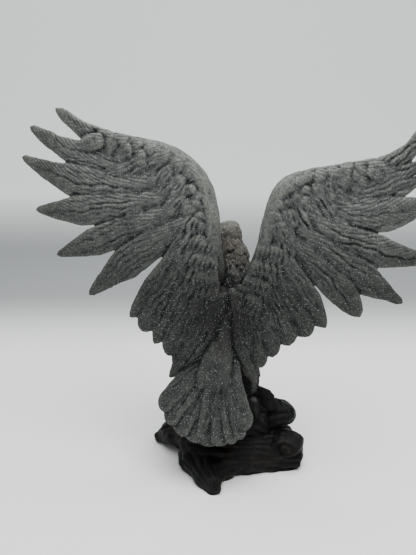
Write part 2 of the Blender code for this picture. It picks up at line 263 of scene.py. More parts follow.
def thinned(casting, pattern, triangles):
    """Brings a casting down to that many triangles, clears the loose faces that this leaves, then takes the strands
    over from its pattern, which goes."""
    bpy.context.view_layer.objects.active = casting
    thin = casting.modifiers.new("thin", "DECIMATE")
    thin.ratio = min(1, triangles / sum(len(face.vertices) - 2 for face in casting.data.polygons))
    bpy.ops.object.modifier_apply(modifier=thin.name)
    bpy.ops.object.mode_set(mode="EDIT")
    bpy.ops.mesh.select_all(action="DESELECT")
    bpy.ops.object.mode_set(mode="OBJECT")
    casting.data.vertices[int(np.argmax(points_of(casting)[:, 2]))].select = True
    bpy.ops.object.mode_set(mode="EDIT")
    bpy.ops.mesh.select_linked()
    bpy.ops.mesh.select_all(action="INVERT")
    bpy.ops.mesh.delete(type="VERT")
    bpy.ops.object.mode_set(mode="OBJECT")
    bpy.ops.object.shade_smooth()
    flat = np.empty(len(pattern.data.vertices) * 3, np.float32)
    pattern.data.attributes["strand"].data.foreach_get("vector", flat)
    strands = flat.reshape(-1, 3)
    skin = BVHTree.FromObject(pattern, bpy.context.evaluated_depsgraph_get())
    faces, vertices = pattern.data.polygons, pattern.data.vertices
    taken = []
    for vertex in casting.data.vertices:
        near, _, face, _ = skin.find_nearest(vertex.co)
        corners = list(faces[face].vertices)
        shares = poly_3d_calc([vertices[k].co for k in corners], near)
        taken.append(np.dot(shares, strands[corners]))
    layer = casting.data.attributes.new("strand", "FLOAT_VECTOR", "POINT")
    layer.data.foreach_set("vector", np.array(taken, np.float32).ravel())
    bpy.data.objects.remove(pattern)


def find_hollows(obj, rounds, depth):
    """Stores in "hollow" how far each point lies below (positive) or above its smoothed surroundings."""
    points = points_of(obj)
    count = len(points)
    ends = np.empty(len(obj.data.edges) * 2, np.int32)
    obj.data.edges.foreach_get("vertices", ends)
    ends = ends.reshape(-1, 2)
    near = np.maximum(np.bincount(ends.ravel(), minlength=count), 1)[:, None]
    soft = points.copy()
    for _ in range(rounds):
        total = np.stack([
            np.bincount(ends[:, 0], soft[ends[:, 1], i], count) + np.bincount(ends[:, 1], soft[ends[:, 0], i], count)
            for i in range(3)
        ], 1)
        soft = 0.4 * soft + 0.6 * total / near
    normals = np.empty(count * 3, np.float32)
    obj.data.vertices.foreach_get("normal", normals)
    sunk = ((soft - points) * normals.reshape(-1, 3)).sum(1) / (depth * MM)
    layer = obj.data.attributes.new("hollow", "FLOAT", "POINT")
    layer.data.foreach_set("value", np.clip(sunk, -1, 1).astype(np.float32))


logs = []
for seed, (name, log) in enumerate(ROCK_LOGS.items()):
    rings = [(x * ROCK_WIDTH, y * ROCK_DEPTH, z * PERCH, across * ROCK_DEPTH, through * PERCH)
             for x, y, z, across, through in log]
    spine = np.array(rings)
    length = np.linalg.norm(np.diff(spine[:, :3], axis=0), axis=1).sum()
    girth = spine[:, 3:].mean()
    logs.append(drawn_out(name, tube(rings, TO_TOP), 96, 72, grain_of(length, girth, 40 + seed), (length, girth)))
knot = drawn_out("knot", tube(KNOT, TO_TOP), 64, 48, None, (14, 8))
points = points_of(knot) / MM
ripple = np.hypot((points[:, 0] - KNOT[0][0]) / 1.5, points[:, 2] - KNOT[0][2])
points[:, 1] -= KNOT_RING_HEIGHT * np.sin(2 * math.pi * ripple / KNOT_RING_PITCH) * np.clip(ripple / 2, 0, 1)
put(knot, points)
logs.append(knot)
rock, pattern = melted(logs, "driftwood_rock", ROCK_GRAIN, ROCK_LUMPS)
bpy.ops.object.mode_set(mode="EDIT")
bpy.ops.mesh.select_all(action="SELECT")
bpy.ops.mesh.bisect(plane_co=(0, 0, 0.0001), plane_no=(0, 0, 1), use_fill=True, clear_inner=True)
bpy.ops.object.mode_set(mode="OBJECT")
thinned(rock, pattern, ROCK_TRIANGLES)
points = points_of(rock) / MM
near_foot = np.hypot(np.abs(points[:, 0]) - ANKLE[0], points[:, 1] - ANKLE[1]) < SEAT_RADIUS
points[:, 2] = np.where(near_foot, np.minimum(points[:, 2], PERCH), points[:, 2])
points[:, 2] = np.where(points[:, 2] < SAWN_FLAT, 0, points[:, 2])
low, high = np.array(cad_low) / MM, np.array(cad_high) / MM
put(rock, np.clip(points, low, high))
find_hollows(rock, rounds=10, depth=0.45)


def linear(hexes):
    """A colour written as an sRGB hex value, brought to the linear values that Blender works in."""
    parts = [int(hexes[i:i + 2], 16) / 255 for i in (1, 3, 5)]
    return (*[c / 12.92 if c <= 0.04045 else ((c + 0.055) / 1.055) ** 2.4 for c in parts], 1)


def add_node(tree, kind, inputs=(), **settings):
    """Adds a node, with its settings and with each input given as a value or as another node's output."""
    made = tree.nodes.new(kind)
    for name, value in settings.items():
        setattr(made, name, value)
    for socket, value in dict(inputs).items():
        if isinstance(value, bpy.types.NodeSocket):
            tree.links.new(value, made.inputs[socket])
        else:
            made.inputs[socket].default_value = value
    return made


# Black paint, brushed: a matt black coat over the casting, with a nearly dry brush of brown dragged over it, so
# the ridges of the grain catch brown, which also serves as a painted highlight for their satin sheen. The hollows are
# painted a deeper black, as painted shade. The grain drawn is 1.1 mm, as on old driftwood.
BLACK_COAT = "#0b0b0c"
BROWN_BRUSH_AND_HIGHLIGHT = "#30281f"
HOLLOW_SHADE_BLACK = "#050506"
FINE_GRAIN = 1.1

wood = bpy.data.materials.new("black_painted_driftwood_resin")
wood.use_nodes = True
tree = wood.node_tree
shader = tree.nodes["Principled BSDF"]
place = add_node(tree, "ShaderNodeTexCoord")
hollow = add_node(tree, "ShaderNodeAttribute", attribute_name="hollow")
along = add_node(tree, "ShaderNodeAttribute", attribute_name="strand")
strand = add_node(tree, "ShaderNodeMapping", {"Vector": along.outputs["Vector"], "Scale": (0.09, 1 / FINE_GRAIN, 1)})
fibre = add_node(tree, "ShaderNodeTexNoise", {"Vector": strand.outputs[0], "Scale": 1.0, "Detail": 3.0,
                                               "Roughness": 0.6, "Distortion": 0.4})
patch = add_node(tree, "ShaderNodeTexNoise", {"Vector": place.outputs["Object"], "Scale": 45.0, "Detail": 2.0})
# Brown on the ridges: dry-brushed paint, and a painted highlight for the ridges' satin sheen.
ridge_brush_and_highlight = add_node(tree, "ShaderNodeMapRange", {"Value": hollow.outputs["Fac"], "From Min": 0.1, "From Max": -0.8})
worn = add_node(tree, "ShaderNodeMapRange", {"Value": patch.outputs["Fac"], "From Min": 0.42, "From Max": 0.66})
streak = add_node(tree, "ShaderNodeMapRange", {"Value": fibre.outputs["Fac"], "From Min": 0.40, "From Max": 0.62})
thin = add_node(tree, "ShaderNodeMath", {0: worn.outputs[0], 1: 0.05}, operation="MULTIPLY")
brush_and_highlight = add_node(tree, "ShaderNodeMath", {0: ridge_brush_and_highlight.outputs[0], 1: worn.outputs[0], 2: thin.outputs[0]},
                 operation="MULTIPLY_ADD")
drag_and_highlight = add_node(tree, "ShaderNodeMath", {0: brush_and_highlight.outputs[0], 1: streak.outputs[0]}, operation="MULTIPLY",
                use_clamp=True)
# Deeper black in the hollows: painted shade.
sunk = add_node(tree, "ShaderNodeMapRange", {"Value": hollow.outputs["Fac"], "From Min": 0.0, "From Max": 0.7})
coat = add_node(tree, "ShaderNodeMix", {0: sunk.outputs[0], 6: linear(BLACK_COAT), 7: linear(HOLLOW_SHADE_BLACK)},
                data_type="RGBA")
colour = add_node(tree, "ShaderNodeMix", {0: drag_and_highlight.outputs[0], 6: coat.outputs[2], 7: linear(BROWN_BRUSH_AND_HIGHLIGHT)},
                  data_type="RGBA")
rough = add_node(tree, "ShaderNodeMapRange", {"Value": fibre.outputs["Fac"], "To Min": 0.42, "To Max": 0.66})
pits = add_node(tree, "ShaderNodeTexNoise", {"Vector": place.outputs["Object"], "Scale": 900.0, "Detail": 2.0})
bump = add_node(tree, "ShaderNodeBump", {"Height": fibre.outputs["Fac"], "Distance": 0.0006, "Strength": 0.7})
grit = add_node(tree, "ShaderNodeBump", {"Height": pits.outputs["Fac"], "Distance": 0.0002, "Strength": 0.6,
                                         "Normal": bump.outputs[0]})
shader.inputs["Specular IOR Level"].default_value = 0.12
tree.links.new(colour.outputs[2], shader.inputs["Base Color"])
tree.links.new(rough.outputs[0], shader.inputs["Roughness"])
tree.links.new(grit.outputs[0], shader.inputs["Normal"])
rock.data.materials.append(wood)
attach(rock, "root")
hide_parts("rock_base")

# Trunk, neck and head of the bird. On the real figure they are modelled in clay with rows of short feathers, then
# cast in resin with all the rest of the bird. Here each form is drawn out from a ball, and the feathers are
# copies of one short feather, laid in rows that overlap like roof tiles.
FOOT = 38.3
# Each ring of a form: x, y, height above the rock's top, half-size across and half-size through.
TRUNK = [
    (-4, -14, 32, 8, 5), (-3, -7, 37, 14, 10), (-2, 2, 46, 18, 15), (-1, 6, 60, 20, 18),
    (0, 7, 76, 20, 17), (0, 7, 88, 16, 14), (0, 8, 97, 11, 11.5), (-1, 9, 104, 10, 10.5),
    (-3, 11, 111, 8, 10), (-4, 13, 117, 8, 10.5), (-4.5, 14, 121.5, 6.5, 8.5), (-5, 14, 124, 3, 4),
]
BEAK = [(-6, 19.5, 116, 5.2, 5.2), (-8.5, 26, 116.8, 4.0, 4.5), (-11, 32, 115.6, 2.7, 3.4),
        (-12.6, 35, 112.5, 1.7, 2.2), (-12.9, 35.4, 109.4, 0.7, 0.9)]
LEFT_BROW = [(-11, 14, 119, 2, 2), (-13, 21, 120.5, 2.6, 2), (-13.5, 26, 118.5, 1.2, 1.0)]
RIGHT_BROW = [(1, 14, 119, 2, 2), (-1.5, 22, 120.5, 2.6, 2), (-4, 27, 118.5, 1.2, 1.0)]
BACK = [(-1, 0, 84, 3, 5), (-1, -8, 78, 4.2, 6), (-1.4, -10.5, 66, 4.6, 6.5), (-2.2, -12, 54, 5.5, 6),
        (-4.5, -13, 42, 8, 6)]
RUMP = [(-3, -8, 60, 5, 5), (-4.5, -11, 49, 8, 7.2), (-5.3, -12.8, 43, 9.5, 6.8), (-6, -14.4, 38, 10.5, 5.8),
        (-6.5, -17, 33, 11.5, 4.4), (-7, -20.2, 28, 12, 3.4), (-7.5, -24, 22, 12, 2.2)]
YOKE = [(-13, 1, 91, 4, 5), (-8, -3, 85, 7, 7), (0, -6, 78, 6, 6), (6, -6, 78, 6, 6), (15, -2, 80, 4, 5)]
EYES = [(-12.6, 21.6, 117.6), (-2.6, 23.6, 117.6)]
EYE_RADIUS = 1.9


def above_perch(rings):
    return [(x, y, z + FOOT, across, through) for x, y, z, across, through in rings]


def blade(name, along, across):
    """A flat feather to copy: a plate with both faces, its length on X and its width on Y, from -1 to 1."""
    bpy.ops.mesh.primitive_grid_add(x_subdivisions=along, y_subdivisions=across, size=2)
    obj = bpy.context.object
    obj.name = name
    plate = obj.modifiers.new("plate", "SOLIDIFY")
    plate.thickness = 2
    plate.offset = 0
    bpy.ops.object.modifier_apply(modifier=plate.name)
    obj.select_set(False)
    return obj


def laid(template, name, surface, plan, height, length, half_width):
    """A copy of a feather laid on a surface.

    plan turns shares along and across the feather into the surface's own two coordinates, and height gives how
    far the point stands off the surface, in millimetres, from those shares and the feather's side, -1 or 1."""
    obj = template.copy()
    obj.data = template.data.copy()
    obj.name = name
    bpy.context.scene.collection.objects.link(obj)
    flat = points_of(obj)
    a, b, side = (flat[:, 0] + 1) / 2, flat[:, 1], np.sign(flat[:, 2])
    p, q = plan(a, b)
    points, out = surface(p, q)
    step = 0.004
    normal = unit(np.cross(surface(p + step, q)[0] - surface(p - step, q)[0],
                           surface(p, q + step)[0] - surface(p, q - step)[0]))
    normal *= np.sign((normal * out).sum(1))[:, None]
    put(obj, points + normal * height(a, b, side)[:, None])
    strand_map(obj, a * length, b * half_width(a))
    return obj


def tile_rows(template, surface, rows, bird):
    """Rows of short feathers on a tube.

    Each row: share, count, length in shares, width factor, lift, jitter, and length in millimetres."""
    for r, (share, count, reach, wide, lift, jitter, length) in enumerate(rows):
        luck = np.random.default_rng(int(share * 1000) + count)
        for i in range(count):
            round_to = 2 * math.pi * (i + 0.5 * (r % 2)) / count + luck.uniform(-1, 1) * jitter * 3 / count
            start = share + luck.uniform(-1, 1) * jitter * abs(reach) * 0.5
            half = math.pi / count * wide
            slope = luck.uniform(-0.25, 0.25)
            tip = luck.uniform(0.8, 1.2)

            def plan(a, b):
                rounded = np.sqrt(np.maximum(0.02, 1 - np.maximum(0, 2 * a - 1) ** 2.4))
                narrow = np.where(a < 0.5, 0.75 + 0.5 * a, rounded)
                return start - reach * a, round_to + half * (b * narrow + slope * a)

            def height(a, b, side):
                top = lift * tip * (0.15 + 0.85 * a) * (1 - 0.45 * b * b) + 0.22 * np.exp(-(b / 0.16) ** 2)
                top = top - 0.28 * np.exp(-((np.abs(b) - 0.55) / 0.14) ** 2)
                return np.where(side > 0, top, -0.9)

            bird.append(laid(template, "tile", surface, plan, height, length,
                             lambda a: np.full(len(a), length * 0.35)))


def beak_form(share, angle):
    """The line of the mouth along both sides, and the fleshy swelling at the root of the beak."""
    mouth = -0.5 * np.exp(-((np.sin(angle) + 0.45) / 0.13) ** 2) * (share < 0.72)
    return mouth + 0.35 * np.exp(-((share - 0.22) / 0.06) ** 2)


bird = []
trunk = tube(above_perch(TRUNK), TO_REAR)
bird.append(drawn_out("trunk", trunk, 72, 72))
bird.append(drawn_out("beak", tube(above_perch(BEAK), TO_TOP), 32, 40, beak_form))
for name, rings in (("back", BACK), ("rump", RUMP), ("yoke", YOKE)):
    bird.append(drawn_out(name, tube(above_perch(rings), TO_REAR), 40, 56))
for brow in (LEFT_BROW, RIGHT_BROW):
    bird.append(drawn_out("brow", tube(above_perch(brow), TO_TOP), 16, 20))
for x, y, z in EYES:
    out = 1.2 if x > TRUNK[-1][0] else -1.2
    eye = [(x + k * out, y, z + FOOT, EYE_RADIUS, EYE_RADIUS) for k in (-1, 1)]
    bird.append(drawn_out("eye", tube(eye, TO_TOP), 20, 16))
short_feather = blade("short_feather", 9, 7)
BODY_ROWS = [
    (0.97, 9, 0.075, 1.3, 0.7, 0.2, 7), (0.93, 11, 0.075, 1.3, 0.8, 0.3, 7), (0.885, 11, 0.08, 1.3, 0.9, 0.4, 7),
    (0.835, 12, 0.085, 1.3, 1.0, 0.5, 8), (0.785, 12, 0.09, 1.3, 1.1, 0.5, 8), (0.73, 12, 0.095, 1.3, 1.2, 0.5, 9),
    (0.67, 12, 0.10, 1.3, 1.2, 0.5, 9), (0.61, 13, 0.10, 1.3, 1.2, 0.4, 9), (0.55, 14, 0.10, 1.3, 1.2, 0.3, 10),
    (0.49, 15, 0.10, 1.3, 1.2, 0.3, 10), (0.43, 16, 0.10, 1.3, 1.2, 0.3, 11), (0.37, 16, 0.10, 1.3, 1.2, 0.3, 11),
    (0.31, 15, 0.10, 1.3, 1.2, 0.3, 11), (0.25, 14, 0.10, 1.3, 1.1, 0.3, 10), (0.19, 12, 0.09, 1.3, 1.0, 0.3, 9),
]
tile_rows(short_feather, trunk, BODY_ROWS, bird)

# Legs. Feathered thighs, bare scaly shanks, and feet with three toes in front and one behind, each with a hooked
# claw. They are part of the same casting. The toes arch over the rock and don't touch it.
THIGH = [(9, 4, 46, 9, 11), (11.5, 4, 32, 7.4, 9), (12.6, 2, 20, 6.6, 6.8), (13.6, 1, 11, 5.2, 5.2)]
SHANK = [(15, 1, 14, 3.4, 3.6), (15, 2, 8, 3.2, 3.4), (15, 3, 3.6, 4.2, 4.2)]
# Each toe's heading in degrees, and how high it arches.
TOES = {-1: ((110, 1.0), (70, 1.0), (28, 1.0), (-62, 1.0)), 1: ((110, 1.0), (70, 1.0), (-22, 1.9), (-75, 1.0))}
TOE_REACH, TOE_THICKNESS, CLAW_REACH = 14.5, 3.2, 5.0
THIGH_ROWS = [(0.10, 12, -0.20, 1.3, 1.1, 0.3, 9), (0.27, 12, -0.20, 1.3, 1.1, 0.3, 9),
              (0.44, 11, -0.20, 1.3, 1.0, 0.3, 9), (0.60, 10, -0.20, 1.3, 0.9, 0.3, 8),
              (0.75, 9, -0.20, 1.3, 0.8, 0.3, 8)]


def scutes(count, depth):
    """Overlapping plates across a toe or shank, each one a small step."""
    return lambda share, angle: depth * ((share * count) % 1 - 0.5) * (np.abs(share - 0.4) < 0.42)


for mirror in (-1, 1):
    thigh = tube([(x * mirror, y, z, a, t) for x, y, z, a, t in above_perch(THIGH)], TO_REAR)
    shank = tube([(x * mirror, y, z, a, t) for x, y, z, a, t in above_perch(SHANK)], TO_REAR)
    bird.append(drawn_out("thigh", thigh, 40, 40))
    bird.append(drawn_out("shank", shank, 32, 48, scutes(7, 0.5)))
    tile_rows(short_feather, thigh, THIGH_ROWS, bird)
    for heading, arch in TOES[mirror]:
        turn = math.radians(heading)
        toe = [(ANKLE[0] * mirror + math.cos(turn) * mirror * reach, ANKLE[1] + math.sin(turn) * reach,
                FOOT + height * (0.55 + 0.45 * arch), thick, thick * (0.1 + 0.9 * arch))
               for reach, height, thick in (
                   (0, 4.0, TOE_THICKNESS * 1.2), (TOE_REACH * 0.35, 5.9, TOE_THICKNESS * 1.05),
                   (TOE_REACH * 0.65, 6.0, TOE_THICKNESS * 1.15), (TOE_REACH * 0.95, 3.9, TOE_THICKNESS),
                   (TOE_REACH + CLAW_REACH * 0.35, 4.0, TOE_THICKNESS * 0.62),
                   (TOE_REACH + CLAW_REACH * 0.85, 2.4, TOE_THICKNESS * 0.36),
                   (TOE_REACH + CLAW_REACH * 1.05, 0.7, TOE_THICKNESS * 0.16))]
        bird.append(drawn_out("toe", tube(toe, TO_TOP), 24, 64, scutes(11, 0.45)))

# Wings. Raised and cupped like hands: twelve flight feathers each, the outer ones parted like thick fingers, three
# rows of coverts over them on both faces, and small scale-like feathers over the arm, flatter near the shoulder.
# All are carved with long wavy furrows. Each kind is modelled once as a flat blade and copied onto the cupped wing.
WING_BULGE_Y, WING_CUP = -22, 24
CUP_CENTRE, CUP_REACH = (45, 107), (85, 110)
BLADE_THICKNESS = 4.8
FINGERS = 7
FINGER_TIP, FEATHER_TIP = (1.9, 2.4, 0.25), (1.2, 1.4, 0)
# Each feather: x and height of its root, middle and tip, its width, the share of it at the root, and roundness.
LEFT_WING = [
    (-48, 169, -82, 178, -108, 195, 13.5, 0.9, 0.30), (-40, 162, -92, 167, -126.5, 183.5, 18, 0.7, 0.25),
    (-35, 154, -98, 152, -133.5, 165, 21, 0.6, 0.20), (-31, 146, -94, 133.5, -125.5, 132, 19, 0.6, 0.35),
    (-27, 138, -84, 114.5, -111.5, 103.5, 18, 0.65, 0.30), (-23, 130, -64, 101.5, -89.5, 79, 20, 0.7, 0.15),
    (-18, 124, -43, 87, -62, 67, 20, 0.8, 0.55), (-15, 118, -41, 78, -55, 57.5, 22, 0.6, 0.85),
    (-13, 110, -36, 68, -47, 49, 19, 0.6, 0.50), (-11, 102, -29, 60, -38.5, 40.5, 20, 0.6, 0.90),
    (-9, 94, -25, 54, -35, 32.5, 17, 0.6, 0.60), (-7, 86, -20, 46, -39, 23.5, 24, 0.7, 0.40),
]
RIGHT_WING = [
    (56, 158, 88, 163, 113, 195, 15, 0.6, 0.15), (48, 153, 92, 154, 121, 175, 20, 0.6, 0.25),
    (42, 147, 92, 138, 120, 147, 21, 0.7, 0.25), (38, 140, 87, 116, 121, 111, 20, 0.6, 0.25),
    (34, 133, 80, 100, 104, 84.5, 20, 0.6, 0.20), (30, 127, 66, 94, 80, 76, 18, 0.7, 0.80),
    (26, 120, 48, 84, 60.5, 68.5, 20, 0.8, 0.50), (23, 113, 42, 74, 51, 62, 22, 0.6, 0.80),
    (20, 106, 34, 66, 39.5, 54.5, 20, 0.6, 0.80), (16, 98, 25, 58, 29.5, 45, 18, 0.6, 0.80),
    (12, 92, 18, 52, 22, 36, 16, 0.7, 0.80), (7, 88, 9, 48, 19.5, 21, 15, 0.8, 0.30),
]
LEFT_ARM = [(-8, 6, 74, 9, 10), (-12, 0, 84, 9, 9), (-11, -9, 100, 8, 8), (-11, -14, 118, 6.5, 7),
            (-12, -15, 136, 6, 6.5), (-18, -14, 154, 6, 6), (-34, -14, 167, 6, 5.5), (-56, -13, 174, 4.5, 4),
            (-78, -11, 178, 3.5, 3)]
RIGHT_ARM = [(9, 6, 72, 9, 10), (14, 0, 82, 9, 9), (19, -9, 98, 7.5, 8), (24, -16, 116, 6.5, 7),
             (27.5, -17, 134, 6.5, 6.5), (33, -16.5, 149, 6.5, 6), (44, -16, 156, 5.5, 5.5), (60, -15, 160, 4.5, 4),
             (80, -13, 165, 3.5, 3)]
COVERT_COUNTS = (12, 12, 11)
COVERT_ROWS = [(0.62, 17, 0.9), (0.42, 17, 2.0), (0.24, 17, 2.8)]
COVERT_FACES = ((1, 3.4), (-0.7, 4.4))
FURROWS = (-0.64, -0.32, 0.0, 0.33, 0.66)
LONG_WAVE, SHORT_WAVE = 34, 13
FLARE, REACHED = 1.7, 0.995
ARM_ROWS = [(0.16 + 0.075 * k, 9, -0.13, 1.35, 0.1 if k < 6 else 0.5, 0.7, 10) for k in range(10)]
LESSER_ROWS = [(10, 15, 2.6), (6, 17, 3.2), (0, 17, 3.6)]
LESSER_END = 0.62


def cupped(x, z):
    """The wings' middle surface: points, and the way to the rear."""
    far = ((np.abs(x) - CUP_CENTRE[0]) / CUP_REACH[0]) ** 2 + ((z - FOOT - CUP_CENTRE[1]) / CUP_REACH[1]) ** 2
    y = WING_BULGE_Y + WING_CUP * (1 - np.exp(-far))
    return np.stack([x, y, z], 1), np.array([0, -1, 0])


def bend_of(row):
    """The share of a feather's length at which its middle lies."""
    root_x, root_z, mid_x, mid_z, tip_x, tip_z = row[:6]
    inner = math.hypot(mid_x - root_x, mid_z - root_z)
    return inner / (inner + math.hypot(tip_x - mid_x, tip_z - mid_z))


def middle_line(row, share):
    """The curve through a feather's root, middle and tip."""
    root_x, root_z, mid_x, mid_z, tip_x, tip_z = row[:6]
    bend = bend_of(row)
    from_root = (share - bend) * (share - 1) / bend
    from_mid = share * (share - 1) / (bend * (bend - 1))
    from_tip = share * (share - bend) / (1 - bend)
    return (from_root * root_x + from_mid * mid_x + from_tip * tip_x,
            from_root * root_z + from_mid * mid_z + from_tip * tip_z + FOOT)


def blade_half_width(row, share):
    width, root_share, roundness = row[6:9]
    bend = bend_of(row)
    left = np.clip((share - bend) / (1 - bend), 0, 1)
    inside = root_share + (1 - root_share) * np.sin(math.pi / 2 * np.minimum(1, share / bend))
    outside = (1 - roundness) * (1 - left) + roundness * (1 - left ** 2) ** (0.5 / max(1, roundness ** 3))
    return width / 2 * np.where(share < bend, inside, outside)


def covert_half_width(width):
    def half(part):
        grown = 0.55 + 0.45 * np.sin(math.pi / 2 * np.minimum(1, part * 2))
        return width / 2 * grown * np.sqrt(np.maximum(0, 1 - np.maximum(0, (part - 0.55) / 0.45) ** 2))

    return half


def eased(a):
    """Shares along a feather, with its points set closer together near the tip."""
    return 1 - (1 - a) ** FLARE


def feather(template, name, row, surface, hand, reach, lift, thickness, tilt, seed, width=None, carve=1.0,
            tip=(0.9, 1.0, 0.0), wavy=1.0, start_up=0.0):
    """One feather laid along its own curve. Its furrows wander, and its edges are thin.

    tip gives the end's radius, the length that it is rounded over, and how fast it swells from there."""
    luck = np.random.default_rng(seed).uniform(0, 1, 12)
    radius, rounding, swelling = tip
    length = reach * (math.hypot(row[2] - row[0], row[3] - row[1]) + math.hypot(row[4] - row[2], row[5] - row[3]))
    grow = covert_half_width(width) if width else None

    def half(a):
        part = eased(a)
        wide = grow(part) if width else blade_half_width(row, reach * REACHED * part)
        left = (1 - part) * length
        horn = np.minimum(radius + swelling * left, max(radius, 0.3 * (width or row[6])))
        end = np.sqrt(np.maximum(0, 1 - np.maximum(0, 1 - left / rounding) ** 2))
        return np.maximum(np.maximum(wide, horn) * end, 0.6)

    def plan(a, b):
        share = reach * REACHED * eased(a)
        x, z = middle_line(row, share)
        on_x, on_z = middle_line(row, share + 0.01)
        off_x, off_z = middle_line(row, share - 0.01)
        run = np.hypot(on_x - off_x, on_z - off_z)
        side_x, side_z = -(on_z - off_z) / run * hand, (on_x - off_x) / run * hand
        wide = half(a)
        return x + side_x * b * wide, z + side_z * b * wide

    def height(a, b, side):
        part = eased(a)
        wide = half(a)
        wave = wavy * (1.5 * np.sin(2 * math.pi * (part * length / LONG_WAVE + luck[0])) * (1 - 0.7 * part)
                       + 0.45 * np.sin(2 * math.pi * (part * length / SHORT_WAVE + luck[1])))
        across = b * wide
        edge = np.sqrt(np.maximum(0, 1 - b * b))
        thick = thickness / 2 * (0.26 + 0.74 * edge) * (1.1 - 0.4 * part)
        valley = 0
        for k, place in enumerate(FURROWS):
            start, end = 0.3 * luck[2 + k], 0.65 + 0.35 * luck[7 + k]
            fade = np.clip((part - start) * 6, 0, 1) * np.clip((end - part) * 6, 0, 1)
            centre = place * wide * (0.9 + 0.2 * luck[2 + k]) + wave * (0.5 + 0.7 * luck[7 + k])
            deep = 0.35 + 0.75 * luck[11 - k] ** 2
            valley = valley + deep * fade * np.exp(-((across - centre) / (0.45 + 0.4 * luck[7 + k])) ** 2)
        relief = -carve * valley * np.clip(wide / 5, 0, 1)
        sink = 0.55 + 0.4 * luck[0] if width else 0.6
        rise = lift * np.minimum(1, 3 * part + start_up) * (1 - sink * part)
        return rise + tilt * b * np.minimum(1, wide / 7) + side * (thick + relief)

    return laid(template, name, surface, plan, height, length, half)


def row_between(rows, share):
    place = min(max(share, 0), 1) * (len(rows) - 1)
    step = min(int(place), len(rows) - 2)
    return [a + (b - a) * (place - step) for a, b in zip(rows[step], rows[step + 1])]


flight_feather = blade("flight_feather", 64, 30)
covert_feather = blade("covert_feather", 34, 24)
lesser_feather = blade("lesser_feather", 14, 12)
for hand, wing, arm in ((-1, LEFT_WING, LEFT_ARM), (1, RIGHT_WING, RIGHT_ARM)):
    for i, row in enumerate(wing):
        bird.append(feather(flight_feather, "flight", row, cupped, hand, 1, 0, BLADE_THICKNESS, 0.7,
                            100 + i * 7 + hand, tip=FINGER_TIP if i < FINGERS else FEATHER_TIP))
    for k, (count, (reach, width, lift)) in enumerate(zip(COVERT_COUNTS, COVERT_ROWS)):
        for i in range(count):
            share = (i + 0.5) / count
            luck = np.random.default_rng(900 + 50 * k + i + hand).uniform(-1, 1, 3)
            root = row_between(arm, 0.98 - 0.83 * share)
            row = (root[0], root[2], *row_between(wing, share)[2:])
            long = reach * (0.72 + 0.38 * share) * (1 + 0.06 * luck[0])
            for side, thick in COVERT_FACES:
                bird.append(feather(covert_feather, "covert", row, cupped, hand, long, side * lift, thick,
                                    0.7 + 0.3 * luck[1], 300 + 40 * k + i + hand, width * (1 + 0.08 * luck[2]),
                                    carve=1.4))
    for back, count, lift in LESSER_ROWS:
        for i in range(int(count * LESSER_END)):
            share = (i + 0.5) / count
            luck = np.random.default_rng(1700 + 10 * back + i + hand).uniform(-1, 1, 3)
            x, _, z = row_between(arm, 0.99 - 0.85 * share)[:3]
            toward = row_between(wing, share)[2:4]
            run = math.hypot(toward[0] - x, toward[1] - z)
            dx, dz = (toward[0] - x) / run, (toward[1] - z) / run
            end = back + 12 + 3 * luck[0]
            row = (x + dx * (back - 4), z + dz * (back - 4), x + dx * (back + 4), z + dz * (back + 4),
                   x + dx * end, z + dz * end, 10 + 1.5 * luck[1], 0.5, 0.6)
            bird.append(feather(lesser_feather, "lesser", row, cupped, hand, 1, lift + 0.5 * luck[2], 2.6, 0.5,
                                1500 + i, carve=0.6, start_up=0.5))
    arm_tube = tube(above_perch(arm), TO_REAR)
    bird.append(drawn_out("arm", arm_tube, 48, 96))
    tile_rows(short_feather, arm_tube, ARM_ROWS, bird)

# Tail. Nine broad feathers fanned out over the rock, their roots under the rump. The middle feather lies on top and
# the others go under it towards each side.
TAIL_ROOT = (-4, 40)
TAIL_THICKNESS, TAIL_LEAN = 3.8, 1.4
TAIL_TIPS = [(-42, 8), (-36, 2), (-28, -2.5), (-18.5, -5.5), (-9, -7), (0.5, -6.5), (8, -5), (13.5, -2.5), (17, 2.5)]
TAIL_ROOT_SPREAD, TAIL_SWEEP, TAIL_OVERLAP, TAIL_RIGHT_WIDTH = 12, (0.66, 0.42), 1.5, 13
TAIL_ROOT_Y, TAIL_REAR_SLOPE, TAIL_CROWN = -13, 0.62, 0.005


def fanned(x, z):
    below = TAIL_ROOT[1] - (z - FOOT)
    y = TAIL_ROOT_Y - below * TAIL_REAR_SLOPE + TAIL_CROWN * (x - TAIL_ROOT[0] + 0.15 * below) ** 2
    return np.stack([x, y, z], 1), np.array([0, -1, 0.6])


for i, (tip_x, tip_z) in enumerate(TAIL_TIPS):
    share = i / (len(TAIL_TIPS) - 1)
    root_x = TAIL_ROOT[0] + (share - 0.5) * TAIL_ROOT_SPREAD
    mid_x = root_x + (tip_x - root_x) * (TAIL_SWEEP[0] + (TAIL_SWEEP[1] - TAIL_SWEEP[0]) * share)
    mid_z = TAIL_ROOT[1] + (tip_z - TAIL_ROOT[1]) * 0.60
    before, after = TAIL_TIPS[max(i - 1, 0)], TAIL_TIPS[min(i + 1, len(TAIL_TIPS) - 1)]
    width = TAIL_OVERLAP * math.dist(before, after) / (2 if 0 < i < len(TAIL_TIPS) - 1 else 1)
    width = TAIL_RIGHT_WIDTH if i == len(TAIL_TIPS) - 1 else width
    row = (root_x, TAIL_ROOT[1], mid_x, mid_z, tip_x, tip_z, width, 0.6, 1.0)
    outer = abs(share - 0.5) * 2
    lean = TAIL_LEAN if share < 0.5 else -TAIL_LEAN
    bird.append(feather(flight_feather, "tail", row, fanned, 1, 1, 0.8 - 1.6 * outer, TAIL_THICKNESS, lean, 700 + i,
                        carve=0.7, tip=(0.46 * width, 3.2 + 3 * outer ** 2, 0.0), wavy=0.25))

# The casting of the bird. The shells are melted together, roughened as by hand carving, kept from sinking below the
# height FOOT round the ankles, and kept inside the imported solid's box.
BIRD_GRAIN = 0.52
BIRD_TRIANGLES = 198000


